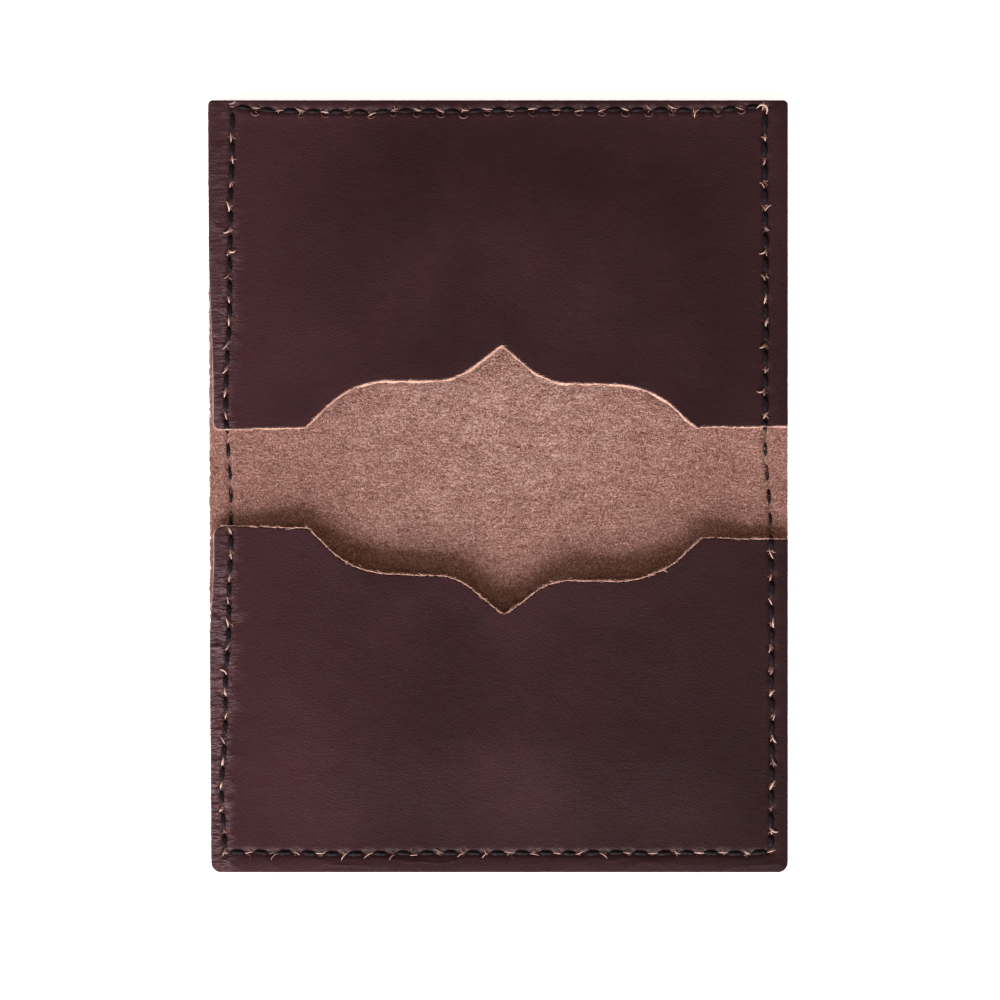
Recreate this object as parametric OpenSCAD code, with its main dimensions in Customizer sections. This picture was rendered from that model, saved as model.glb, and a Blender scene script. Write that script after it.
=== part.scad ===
// Bifold business card case: one folding leather cover with two card pockets sewn onto it.
// It lies open. X runs along the fold, +Y goes towards the upper pocket and +Z goes up.
// The origin is the middle of the fold, on the surface that the cover lies on.
// The cover's grain side is down and its suede side is up.

/* [Case] */
// Width of the case, along the fold
case_w = 102; // [101:0.5:106]
// Length of the open case, across the fold
case_l = 136; // [134:1:142]
// Radius of the case's two corners at the upper pocket
upper_corner_r = 0.8; // [0.5:0.1:2]
// Radius of the case's two corners at the lower pocket
lower_corner_r = 1.8; // [0.5:0.1:2]

/* [Leather] */
// Thickness of the cover
cover_t = 1.5; // [1.4:0.1:1.8]
// Thickness of each pocket
pocket_t = 1.4; // [1:0.1:1.5]
// Height of the room for cards under each pocket
card_room = 1.2; // [0.6:0.1:1.4]

/* [Pockets] */
// Distance from the fold to the upper pocket's mouth, at its sides
upper_mouth_y = 10.8; // [9:0.1:12]
// Distance from the fold to the lower pocket's mouth, at its sides
lower_mouth_y = 8.6; // [8:0.1:12]
// Radius of the mouth's left corner, the end that the maker rounded
mouth_corner_r = 1.4; // [0.5:0.1:2]
// Distance from the seam's centre line to the room for cards
seam_to_room = 1.6; // [1:0.1:2]
// Width over which the pocket rises from its sewn rim to its full height
rise_w = 2; // [1.5:0.1:4]

/* [Thumb notch] */
// Depth of the notch's level shoulders, from the mouth
shoulder_depth = 8.15; // [7:0.05:9]
// Half the width between the outer ends of the shoulders
shoulder_x = 19.5; // [18:0.5:22]
// Half the width between the inner ends of the shoulders
peak_foot_x = 11.5; // [10:0.5:13]
// Radius of the round that leads down from each shoulder to the mouth
shoulder_r = 15; // [13:0.5:17]
// Radius of the hollow curve that leads from each shoulder up to the peak
peak_r = 10; // [9:0.5:12]
// Slope of the peak's straight sides, in degrees
peak_slope = 37; // [34:1:40]

/* [Seam] */
// Distance between neighbouring needle holes
stitch_pitch = 4.1; // [4.05:0.05:4.15]
// Distance from the case's left and right edges to the seam
side_inset = 3.2; // [2.8:0.1:4]
// Distance from the upper edge to the seam
upper_inset = 2.5; // [2.3:0.1:4]
// Distance from the lower edge to the seam
lower_inset = 3.1; // [2.8:0.1:4]
// Diameter of the thread
thread_d = 0.7; // [0.5:0.05:0.7]

/* [Fold] */
// Space between the closed pockets
closed_gap = 0.4; // [0.2:0.1:1]
// Space left in the cover at each crease, where it is cut so that it can fold
crease_clearance = 0.1; // [0.05:0.01:0.15]

/* [Hidden] */
$fn = 64;

suede_tan = [0.66, 0.49, 0.45];
oxblood = [0.23, 0.14, 0.15];
thread_black = [0.06, 0.06, 0.08];

half_w = case_w / 2;
half_l = case_l / 2;
past = 1; // how far a cutting shape runs past what it cuts

// The spine lies between two creases, whose hinge axes are in the cover's suede surface.
// Each crease turns a quarter turn to close the case, with the spine upright between the
// halves, so the spine is as wide as the two pockets and the space between them are high.
spine_w = 2 * (card_room + pocket_t) + closed_gap;
spine_half = spine_w / 2;

// The seam is one rectangle of needle holes.
seam_x = half_w - side_inset;
seam_low_y = -half_l + lower_inset;
seam_high_y = half_l - upper_inset;
seam_l = seam_high_y - seam_low_y;
side_stitches = round(seam_l / stitch_pitch);
end_stitches = round(2 * seam_x / stitch_pitch);
rim_top = cover_t + pocket_t;
hole_play = 0.25; // the two strands in a hole lie this far either side of its centre
strand_d = thread_d - 0.1;

function side_hole(i) = seam_low_y + seam_l * i / side_stitches;
function end_hole(i) = -seam_x + 2 * seam_x * i / end_stitches;
function on_pocket(y) = y > upper_mouth_y || y < -lower_mouth_y;

// What is cut off to round the corner of a square at the origin that lies towards +X and +Y
module corner_cut(r) {
    difference() {
        translate([-past, -past])
            square(r + past);
        translate([r, r])
            circle(r);
    }
}

// An outline from y0 to y1 with its own radius at each end of its left and right sides
module panel_outline(y0, y1, low_left_r, low_right_r, high_r) {
    difference() {
        translate([-half_w, y0])
            square([case_w, y1 - y0]);
        translate([-half_w, y0])
            corner_cut(low_left_r);
        translate([half_w, y0])
            mirror([1, 0])
                corner_cut(low_right_r);
        for (side = [0, 1])
            mirror([side, 0])
                translate([-half_w, y1])
                    mirror([0, 1])
                        corner_cut(high_r);
    }
}

// The ogee notch that is cut into a pocket's mouth, with the mouth at y = 0
module thumb_notch() {
    round_y = shoulder_depth - shoulder_r;
    tangent = shoulder_r * cos(45);
    foot = [shoulder_x + tangent, round_y + tangent];
    hollow_y = shoulder_depth + peak_r;
    peak_side = [
        peak_foot_x - peak_r * sin(peak_slope),
        hollow_y - peak_r * cos(peak_slope)
    ];
    translate([-shoulder_x, -past])
        square([2 * shoulder_x, shoulder_depth + past]);
    for (side = [0, 1])
        mirror([side, 0]) {
            translate([shoulder_x, round_y])
                circle(shoulder_r);
            polygon([
                [shoulder_x, -past],
                [foot.x + foot.y + past, -past],
                foot,
                [shoulder_x, foot.y]
            ]);
        }
    difference() {
        polygon([
            [-peak_foot_x, shoulder_depth - past],
            [peak_foot_x, shoulder_depth - past],
            [peak_foot_x, shoulder_depth],
            peak_side,
            [0, peak_side.y + peak_side.x * tan(peak_slope)],
            [-peak_side.x, peak_side.y],
            [-peak_foot_x, shoulder_depth]
        ]);
        for (side = [-1, 1])
            translate([side * peak_foot_x, hollow_y])
                circle(peak_r);
    }
}

// A bar along Y whose section is a level top between two rises, over a base of height rim_h
module crosswise_rise(foot_x, rim_h, top_h) {
    translate([0, half_l + past, cover_t])
        rotate([90, 0, 0])
            linear_extrude(half_l + 2 * past)
                polygon([
                    [-half_w - past, -past],
                    [half_w + past, -past],
                    [half_w + past, rim_h],
                    [foot_x, rim_h],
                    [foot_x - rise_w, top_h],
                    [rise_w - foot_x, top_h],
                    [-foot_x, rim_h],
                    [-half_w - past, rim_h]
                ]);
}

// A bar along X that is top_h high from the fold on and comes down to rim_h at foot_y
module lengthwise_rise(foot_y, rim_h, top_h) {
    translate([-half_w - past, 0, cover_t])
        rotate([90, 0, 90])
            linear_extrude(case_w + 2 * past)
                polygon([
                    [0, -past],
                    [half_l + past, -past],
                    [half_l + past, rim_h],
                    [foot_y, rim_h],
                    [foot_y - rise_w, top_h],
                    [0, top_h]
                ]);
}

// The room under a pocket: open at the mouth, closed at the rim on the other three sides
module card_space(foot_x, foot_y) {
    intersection() {
        crosswise_rise(foot_x, 0, card_room);
        lengthwise_rise(foot_y, 0, card_room);
        translate([-foot_x, 0, 0])
            cube([2 * foot_x, foot_y, cover_t + card_room]);
    }
}

// One pocket, drawn on the +Y side of the fold
module pocket(mouth_y, end_inset, end_corner_r) {
    foot_x = seam_x - seam_to_room;
    foot_y = half_l - end_inset - seam_to_room;
    difference() {
        intersection() {
            translate([0, 0, cover_t])
                linear_extrude(card_room + pocket_t)
                    difference() {
                        panel_outline(mouth_y, half_l, mouth_corner_r, 0.3, end_corner_r);
                        translate([0, mouth_y])
                            thumb_notch();
                    }
            crosswise_rise(foot_x, pocket_t, pocket_t + card_room);
            lengthwise_rise(foot_y, pocket_t, pocket_t + card_room);
        }
        card_space(foot_x, foot_y);
    }
}

// One flat end of the cover, drawn on the +Y side of the fold
module cover_half(end_corner_r) {
    square_corner = 0.3;
    linear_extrude(cover_t)
        panel_outline(
            spine_half + crease_clearance / 2, half_l, square_corner, square_corner, end_corner_r
        );
}

// A straight length of thread between two points at one height
module strand(from, to) {
    turn = atan2(to.y - from.y, to.x - from.x);
    translate(from)
        rotate([0, 90, turn])
            cylinder(d = thread_d, h = norm(to - from));
}

// The leg of a stitch, going through the leather from the thread to where the two lock
module leg(at) {
    translate([at.x, at.y, min(at.z, lock_z)])
        cylinder(d = strand_d, h = abs(at.z - lock_z));
}

// Height of the thread's centre: on a pocket's rim, sunk in the suede, or in the grain side
function thread_z(y, inside) =
    !inside ? thread_d / 2 : on_pocket(y) ? rim_top : cover_t - thread_d / 2;
lock_z = cover_t / 2; // the two threads lock in the middle of the cover

// The side seams' stitches between y0 and y1, on both sides of the case
module side_stitches_between(y0, y1, inside) {
    for (i = [0 : side_stitches - 1]) {
        low = side_hole(i) + hole_play;
        high = side_hole(i + 1) - hole_play;
        from = max(low, y0);
        to = min(high, y1);
        level = on_pocket(low) && on_pocket(high) ? low : 0;
        z = thread_z(level, inside);
        if (from < to)
            for (x = [-seam_x, seam_x]) {
                strand([x, from, z], [x, to, z]);
                if (low >= y0)
                    leg([x, low, z]);
                if (high <= y1)
                    leg([x, high, z]);
            }
    }
    // Where one stitch lies on a rim and the next on the suede, the shared hole joins them.
    for (i = [1 : side_stitches - 1])
        if (inside && side_hole(i) > y0 && side_hole(i) < y1 && on_pocket(side_hole(i)))
            for (x = [-seam_x, seam_x])
                leg([x, side_hole(i), rim_top]);
}

// The stitches of the seam along the upper or the lower edge
module end_stitches_at(y, inside) {
    z = thread_z(y, inside);
    for (i = [0 : end_stitches - 1]) {
        low = end_hole(i) + hole_play;
        high = end_hole(i + 1) - hole_play;
        strand([low, y, z], [high, y, z]);
        leg([low, y, z]);
        leg([high, y, z]);
    }
    // The thread turns the corner in the corner's own hole.
    for (x = [-seam_x, seam_x])
        translate([x, y, min(z, lock_z)])
            cylinder(d = thread_d, h = abs(z - lock_z));
}

module thread_upper(inside) {
    color(thread_black) {
        side_stitches_between(spine_half + crease_clearance / 2, seam_high_y, inside);
        end_stitches_at(seam_high_y, inside);
    }
}

module thread_lower(inside) {
    color(thread_black) {
        side_stitches_between(seam_low_y, -spine_half - crease_clearance / 2, inside);
        end_stitches_at(seam_low_y, inside);
    }
}

module thread_spine(inside) {
    spine_end = spine_half - crease_clearance / 2;
    color(thread_black)
        side_stitches_between(-spine_end, spine_end, inside);
}

module cover_lower() {
    color(suede_tan)
        mirror([0, 1, 0])
            cover_half(lower_corner_r);
}

module cover_upper() {
    color(suede_tan)
        cover_half(upper_corner_r);
}

module cover_spine() {
    spine_end = spine_half - crease_clearance / 2;
    color(suede_tan)
        translate([-half_w, -spine_end, 0])
            cube([case_w, 2 * spine_end, cover_t]);
}

module pocket_lower() {
    color(oxblood)
        mirror([0, 1, 0])
            pocket(lower_mouth_y, lower_inset, lower_corner_r);
}

module pocket_upper() {
    color(oxblood)
        pocket(upper_mouth_y, upper_inset, upper_corner_r);
}

cover_lower();
cover_spine();
cover_upper();
pocket_lower();
pocket_upper();
thread_lower(false);  // needle_thread_lower
thread_spine(false);  // needle_thread_spine
thread_upper(false);  // needle_thread_upper
thread_lower(true);  // bobbin_thread_lower
thread_spine(true);  // bobbin_thread_spine
thread_upper(true);  // bobbin_thread_upper
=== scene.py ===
"""A bifold business card case in oxblood leather, lying open with its suede inside up.

Lengths in this script are millimetres, and new_piece() turns them into metres. The frame is the
CAD's: X along the fold, +Y towards the upper pocket, +Z up, and the cover lies on z = 0.
Only the camera, lights and floor are in metres.
"""

import math

import bpy
import numpy as np
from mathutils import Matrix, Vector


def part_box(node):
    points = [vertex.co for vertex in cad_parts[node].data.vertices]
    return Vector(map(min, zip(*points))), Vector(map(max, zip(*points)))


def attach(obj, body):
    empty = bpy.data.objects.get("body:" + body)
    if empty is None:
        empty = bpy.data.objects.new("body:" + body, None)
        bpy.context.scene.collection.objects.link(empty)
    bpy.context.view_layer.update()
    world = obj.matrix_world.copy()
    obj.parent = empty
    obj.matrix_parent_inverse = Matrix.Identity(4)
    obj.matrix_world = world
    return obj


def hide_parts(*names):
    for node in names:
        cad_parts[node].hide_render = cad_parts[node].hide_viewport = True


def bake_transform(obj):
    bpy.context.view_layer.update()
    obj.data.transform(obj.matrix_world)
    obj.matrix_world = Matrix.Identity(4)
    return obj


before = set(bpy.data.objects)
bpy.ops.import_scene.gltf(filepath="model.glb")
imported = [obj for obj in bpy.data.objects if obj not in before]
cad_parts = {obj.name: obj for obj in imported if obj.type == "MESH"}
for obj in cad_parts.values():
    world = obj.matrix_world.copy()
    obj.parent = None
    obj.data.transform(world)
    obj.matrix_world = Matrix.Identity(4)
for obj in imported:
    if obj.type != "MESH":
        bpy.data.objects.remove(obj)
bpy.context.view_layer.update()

MM = 0.001
FAR = 9.0  # stands for any distance that is too long to matter
TINY = 1e-6
SIDES = ((1, "upper"), (-1, "lower"))

# ---- Sizes that the frame gives


def node_box(name):
    """A CAD node's lowest and highest corner, in millimetres."""
    low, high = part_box(name)
    return np.array(low) / MM, np.array(high) / MM


half_w = node_box("cover_lower")[1][0]
low_end = node_box("cover_lower")[0][1]
high_end = node_box("cover_upper")[1][1]
cover_t = node_box("cover_lower")[1][2]
pocket_top = node_box("pocket_upper")[1][2]
upper_mouth = node_box("pocket_upper")[0][1]
lower_mouth = node_box("pocket_lower")[1][1]
thread_box = {end: node_box("bobbin_thread_" + end) for end in ("lower", "upper")}
THREAD_R = 0.35  # in the CAD
rim_top = thread_box["upper"][1][2] - THREAD_R
POCKET_T = 1.4
END_Y = {1: high_end, -1: -low_end}
CORNER_R = {1: 0.8, -1: 1.8}

# ---- Camera and light

scene = bpy.context.scene
scene.view_settings.view_transform = "Standard"


def new_object(name, data):
    made = bpy.data.objects.new(name, data)
    scene.collection.objects.link(made)
    return made


CAMERA_HEIGHT = 1.2
VIEW_WIDTH, VIEW_LEVEL = 0.17605, 0.003  # the picture's width, and the height where it has it
camera_data = bpy.data.cameras.new("camera")
camera_data.sensor_width = 36
camera_data.lens = camera_data.sensor_width * (CAMERA_HEIGHT - VIEW_LEVEL) / VIEW_WIDTH
camera = new_object("camera", camera_data)
camera.location = (0.00031, -0.00239, CAMERA_HEIGHT)
scene.camera = camera


def softbox(name, location, size, power, tint):
    """A rectangular light that shines at the middle of the case."""
    data = bpy.data.lights.new(name, "AREA")
    data.shape = "RECTANGLE"
    data.size, data.size_y = size
    data.energy = power
    data.color = tint
    light = new_object(name, data)
    light.location = location
    light.rotation_euler = (-light.location).to_track_quat("-Z", "Y").to_euler()


softbox("key_light", (-0.14, -0.96, 0.35), (1.2, 0.60), 54.0, (0.97, 0.985, 1.0))
softbox("left_light", (-0.85, -0.20, 0.26), (0.4, 0.3), 4.2, (0.9, 0.93, 1.0))

world = bpy.data.worlds.new("studio")
world.use_nodes = True
background = world.node_tree.nodes["Background"]
background.inputs["Color"].default_value = (1.0, 0.80, 0.63, 1)
background.inputs["Strength"].default_value = 0.55
scene.world = world

# ---- Noise and shapes as numbers


def value_noise(x, y, seed):
    """Smooth noise from -1 to 1, one lump per unit, the same on each run."""
    size = 512
    table = np.random.RandomState(seed).uniform(-1, 1, (size, size))
    x, y = np.broadcast_arrays(np.asarray(x, float), np.asarray(y, float))
    x0, y0 = np.floor(x).astype(int), np.floor(y).astype(int)
    fx, fy = x - x0, y - y0
    fx, fy = fx * fx * (3 - 2 * fx), fy * fy * (3 - 2 * fy)
    x0, y0, x1, y1 = x0 % size, y0 % size, (x0 + 1) % size, (y0 + 1) % size
    low = table[y0, x0] * (1 - fx) + table[y0, x1] * fx
    high = table[y1, x0] * (1 - fx) + table[y1, x1] * fx
    return low * (1 - fy) + high * fy


def step(x, low, high):
    """0 below low, 1 above high, and smooth between."""
    t = np.clip((np.asarray(x, float) - low) / (high - low), 0, 1)
    return t * t * (3 - 2 * t)


def wander(t, points):
    """A smooth curve through (t, value) points, level at each of them."""
    ts = [p[0] for p in points]
    t = np.clip(np.asarray(t, float), ts[0], ts[-1])
    i = np.clip(np.searchsorted(ts, t, side="right") - 1, 0, len(ts) - 2)
    ts, vs = np.array(ts, float), np.array([p[1] for p in points], float)
    s = step((t - ts[i]) / (ts[i + 1] - ts[i]), 0, 1)
    return vs[i] * (1 - s) + vs[i + 1] * s


def bump(distance, width):
    """A round bump, 1 high at distance 0."""
    return np.exp(-((distance / width) ** 2))


def from_edge(*steps):
    """Distances from an edge: runs of (how far the run reaches, its spacing)."""
    out = [0.0]
    for reach, spacing in steps:
        count = max(1, round((reach - out[-1]) / spacing))
        out += list(np.linspace(out[-1], reach, count + 1)[1:])
    return np.array(out)


def between(breaks, spacing):
    """Values through each of the breaks, at most about spacing apart."""
    out = [breaks[0]]
    for a, b in zip(breaks, breaks[1:]):
        out += list(np.linspace(a, b, max(1, math.ceil((b - a) / spacing)) + 1)[1:])
    return np.array(out)


def unit(v):
    """Vectors along the last axis, each made 1 long."""
    return v / np.maximum(np.linalg.norm(v, axis=-1, keepdims=True), 1e-9)


def nearest_distance(px, py, line):
    """Distance from each point to a polyline of (x, y) rows."""
    shape = px.shape
    points = np.stack([px.ravel(), py.ravel()], 1)
    a, b = line[:-1], line[1:]
    ab = b - a
    length2 = np.maximum((ab**2).sum(1), 1e-12)
    out = np.empty(len(points))
    for start in range(0, len(points), 4000):
        p = points[start : start + 4000, None, :]
        t = np.clip(((p - a) * ab).sum(2) / length2, 0, 1)
        gap = p - (a + t[:, :, None] * ab)
        out[start : start + 4000] = np.sqrt((gap**2).sum(2).min(1))
    return out.reshape(shape)


# ---- Meshes


def new_piece(name, verts, faces, materials, face_materials=None, **numbers):
    """A smooth mesh object. The materials read numbers, a value for each point under a name, and
    rest, each point's place at rest."""
    verts = np.asarray(verts, float)
    mesh = bpy.data.meshes.new(name)
    mesh.from_pydata((verts * MM).tolist(), [], faces)
    for material in materials:
        mesh.materials.append(material)
    if face_materials is not None:
        mesh.polygons.foreach_set("material_index", np.asarray(face_materials, np.int32))
    mesh.polygons.foreach_set("use_smooth", np.ones(len(mesh.polygons), bool))
    rest = mesh.attributes.new("rest", "FLOAT_VECTOR", "POINT")
    rest.data.foreach_set("vector", verts.astype(np.float32).ravel())
    for key, values in numbers.items():
        attribute = mesh.attributes.new(key, "FLOAT", "POINT")
        attribute.data.foreach_set("value", np.asarray(values, np.float32).ravel())
    mesh.update()
    return new_object(name, mesh)


def sharpen(piece, on_edge):
    """Marks the edges whose two ends are both chosen as sharp."""
    mesh = piece.data
    ends = np.zeros(len(mesh.edges) * 2, np.int32)
    mesh.edges.foreach_get("vertices", ends)
    chosen = np.asarray(on_edge)[ends.reshape(-1, 2)].all(1)
    attribute = mesh.attributes.get("sharp_edge") or mesh.attributes.new(
        "sharp_edge", "BOOLEAN", "EDGE"
    )
    attribute.data.foreach_set("value", chosen)


def grid_faces(rows, cols, flip=False):
    """Quads of a grid of vertices, facing up, or down if flipped."""
    i = np.arange(rows * cols).reshape(rows, cols)
    quads = np.stack([i[:-1, :-1], i[:-1, 1:], i[1:, 1:], i[1:, :-1]], -1).reshape(-1, 4)
    return quads[:, ::-1] if flip else quads


def edge_loop(rows, cols):
    """A grid's edge vertices, counter-clockwise from its first one."""
    i = np.arange(rows * cols).reshape(rows, cols)
    return np.concatenate([i[0, :-1], i[:-1, -1], i[-1, :0:-1], i[:0:-1, 0]])


def outward_normals(loop):
    """Level outward normals of a counter-clockwise loop of (x, y) rows."""
    along = unit(unit(loop - np.roll(loop, 1, 0)) + unit(np.roll(loop, -1, 0) - loop))
    return np.stack([along[:, 1], -along[:, 0]], 1)


WALL_ROWS = 5


def shell(x, y, top, bottom, slant, roughness, seed):
    """Vertices, faces and zones of a closed sheet: a top grid, a cut wall and a bottom grid.
    slant is how far the wall leans outward, and only its edge counts. A face's zone is 0 on
    top, 1 on the wall and 2 underneath."""
    rows, cols = x.shape
    loop = edge_loop(rows, cols)
    flat = np.stack([x.ravel(), y.ravel()], 1)
    edge = flat[loop]
    normal = outward_normals(edge)
    top_z, bottom_z, slant = top.ravel(), bottom.ravel(), slant.ravel()[loop]
    random = np.random.RandomState(seed)
    rings, count = [], len(loop)
    for k in range(1, WALL_ROWS):
        share = k / WALL_ROWS
        out = slant * share + random.uniform(-1, 1, count) * roughness
        z = top_z[loop] * (1 - share) + bottom_z[loop] * share
        rings.append(np.column_stack([edge + normal * out[:, None], z]))
    low = flat.copy()
    low[loop] = edge + normal * slant[:, None]
    verts = np.concatenate(
        [np.column_stack([flat, top_z]), *rings, np.column_stack([low, bottom_z])]
    )
    size = rows * cols
    last = size + count * (WALL_ROWS - 1)
    ids = [loop] + [size + count * k + np.arange(count) for k in range(WALL_ROWS - 1)]
    ids.append(last + loop)
    quads_per_side = (rows - 1) * (cols - 1)
    faces, zones = [grid_faces(rows, cols)], [np.zeros(quads_per_side, int)]
    for upper, lower in zip(ids, ids[1:]):
        quads = np.stack([lower, np.roll(lower, -1), np.roll(upper, -1), upper], 1)
        faces.append(quads)
        zones.append(np.ones(count, int))
    faces.append(grid_faces(rows, cols, flip=True) + last)
    zones.append(np.full(quads_per_side, 2))
    return verts, np.concatenate(faces).tolist(), np.concatenate(zones)


def strands(paths, radii, sides, flatness=1.0, lobes=0.0, twist=0.0, sideways=None):
    """Closed tubes along many paths at once. paths is (strand, point, xyz) and radii is
    (strand, point). flatness squeezes the section's height, and lobes and twist shape it like
    laid strands. sideways is the level direction across the strand, if it has one."""
    n, p, _ = paths.shape
    tangent = unit(np.gradient(paths, axis=1))
    if sideways is None:
        guide = np.where(np.abs(tangent[:, :1, 2:3]) > 0.8, [[[1.0, 0, 0]]], [[[0, 0, 1.0]]])
        across = unit(np.cross(tangent, np.broadcast_to(guide, tangent.shape)))
    else:
        across = np.broadcast_to(sideways[:, None, :], tangent.shape)
    up = np.cross(across, tangent)
    turn = np.arange(sides) * 2 * math.pi / sides
    along = np.concatenate(
        [np.zeros((n, 1)), np.cumsum(np.linalg.norm(np.diff(paths, axis=1), axis=2), 1)], 1
    )
    phase = turn * 3 - (along * twist)[:, :, None]
    radius = radii[:, :, None] * (1 + lobes * np.cos(phase))
    ring = (
        paths[:, :, None]
        + across[:, :, None] * (np.cos(turn) * radius)[..., None]
        + up[:, :, None] * (np.sin(turn) * radius * flatness)[..., None]
    )
    i = np.arange(n * p * sides).reshape(n, p, sides)
    a, b = i[:, :-1], i[:, 1:]
    quads = np.stack([a, np.roll(a, -1, 2), np.roll(b, -1, 2), b], -1).reshape(-1, 4)
    faces = quads.tolist() + i[:, 0, ::-1].tolist() + i[:, -1].tolist()
    return ring.reshape(-1, 3), faces


# ---- Materials


class Nodes:
    """A material's node tree, with the few kinds of node that the leathers need."""

    def __init__(self, name):
        self.material = bpy.data.materials.new(name)
        self.material.use_nodes = True
        self.tree = self.material.node_tree
        self.shader = self.tree.nodes["Principled BSDF"]
        self.rest = self.attribute("rest", "Vector")

    def add(self, kind, inputs=(), **settings):
        """A new node. inputs gives a socket or a constant for each input that isn't left alone."""
        node = self.tree.nodes.new(kind)
        for key, value in settings.items():
            setattr(node, key, value)
        for key, value in dict(inputs).items():
            self.link(value, node.inputs[key])
        return node

    def link(self, source, socket):
        if isinstance(source, bpy.types.NodeSocket):
            self.tree.links.new(source, socket)
        else:
            socket.default_value = source

    def attribute(self, name, output="Fac"):
        return self.add("ShaderNodeAttribute", attribute_name=name).outputs[output]

    def stretched(self, scale, vector=None):
        inputs = {"Vector": vector or self.rest, "Scale": scale}
        return self.add("ShaderNodeMapping", inputs).outputs["Vector"]

    def warped(self, amount, scale):
        """The rest coordinates pushed about by noise, so that patterns don't run straight."""
        noise = self.add("ShaderNodeTexNoise", {"Vector": self.rest, "Scale": scale})
        inputs = {0: noise.outputs["Color"], 1: (amount,) * 3, 2: self.rest}
        return self.add("ShaderNodeVectorMath", inputs, operation="MULTIPLY_ADD").outputs["Vector"]

    def noise(self, scale, detail, rough, vector=None):
        inputs = {"Vector": vector or self.rest, "Scale": scale, "Detail": detail}
        return self.add("ShaderNodeTexNoise", {**inputs, "Roughness": rough}).outputs["Fac"]

    def place(self, axis):
        """Distance along X, Y or Z from the middle of the fold, in millimetres."""
        return self.add("ShaderNodeSeparateXYZ", {"Vector": self.rest}).outputs[axis]

    def cells(self, scale, vector):
        """Distance to the edges of small cells."""
        inputs = {"Vector": vector, "Scale": scale}
        node = self.add("ShaderNodeTexVoronoi", inputs, feature="DISTANCE_TO_EDGE")
        return node.outputs["Distance"]

    def spread(self, value, low, high, to_low=0.0, to_high=1.0):
        """A value taken from one range to another, smoothly and without overshoot."""
        inputs = {"Value": value, "From Min": low, "From Max": high}
        inputs.update({"To Min": to_low, "To Max": to_high})
        node = self.add("ShaderNodeMapRange", inputs, interpolation_type="SMOOTHSTEP")
        return node.outputs["Result"]

    def maths(self, operation, a, b):
        return self.add("ShaderNodeMath", {0: a, 1: b}, operation=operation).outputs["Value"]

    def times(self, a, b):
        return self.maths("MULTIPLY", a, b)

    def mix(self, share, a, b):
        """Colour a, with that share of colour b over it."""
        node = self.add("ShaderNodeMix", {"Factor": share}, data_type="RGBA")
        for value, socket in zip((a, b), (s for s in node.inputs if s.type == "RGBA")):
            self.link(colour(value), socket)
        return next(s for s in node.outputs if s.type == "RGBA")

    def coat(self, base, *layers):
        """A base colour under layers, each a (pattern, its low, its high, most share, colour)."""
        for pattern, low, high, share, tint in layers:
            base = self.mix(self.spread(pattern, low, high, 0.0, share), base, tint)
        return base

    def bump(self, height, strength, distance, normal=None):
        inputs = {"Height": height, "Strength": strength, "Distance": distance * MM}
        if normal is not None:
            inputs["Normal"] = normal
        return self.add("ShaderNodeBump", inputs).outputs["Normal"]

    def finish(self, base, roughness, normal=None, **constants):
        self.link(base, self.shader.inputs["Base Color"])
        self.link(roughness, self.shader.inputs["Roughness"])
        if normal is not None:
            self.link(normal, self.shader.inputs["Normal"])
        for key, value in constants.items():
            self.shader.inputs[key.replace("_", " ")].default_value = value
        return self.material


def colour(value):
    """A socket as it is, or red, green and blue with an alpha of 1."""
    return value if isinstance(value, bpy.types.NodeSocket) else (*value, 1.0)


OXBLOOD = (0.0164, 0.0045, 0.0058)
OXBLOOD_LIGHT = (0.027, 0.0086, 0.0110)
OXBLOOD_DARK = (0.0092, 0.0030, 0.0036)
# Painted sheen, laid on towards the left edge
PLUM_PAINTED_SHEEN = (0.030, 0.0090, 0.0126)
# Painted highlight for the crease crests
CREST_PAINTED_HIGHLIGHT = (0.15, 0.09, 0.112)
RAW_RED = (0.070, 0.021, 0.017)


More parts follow.
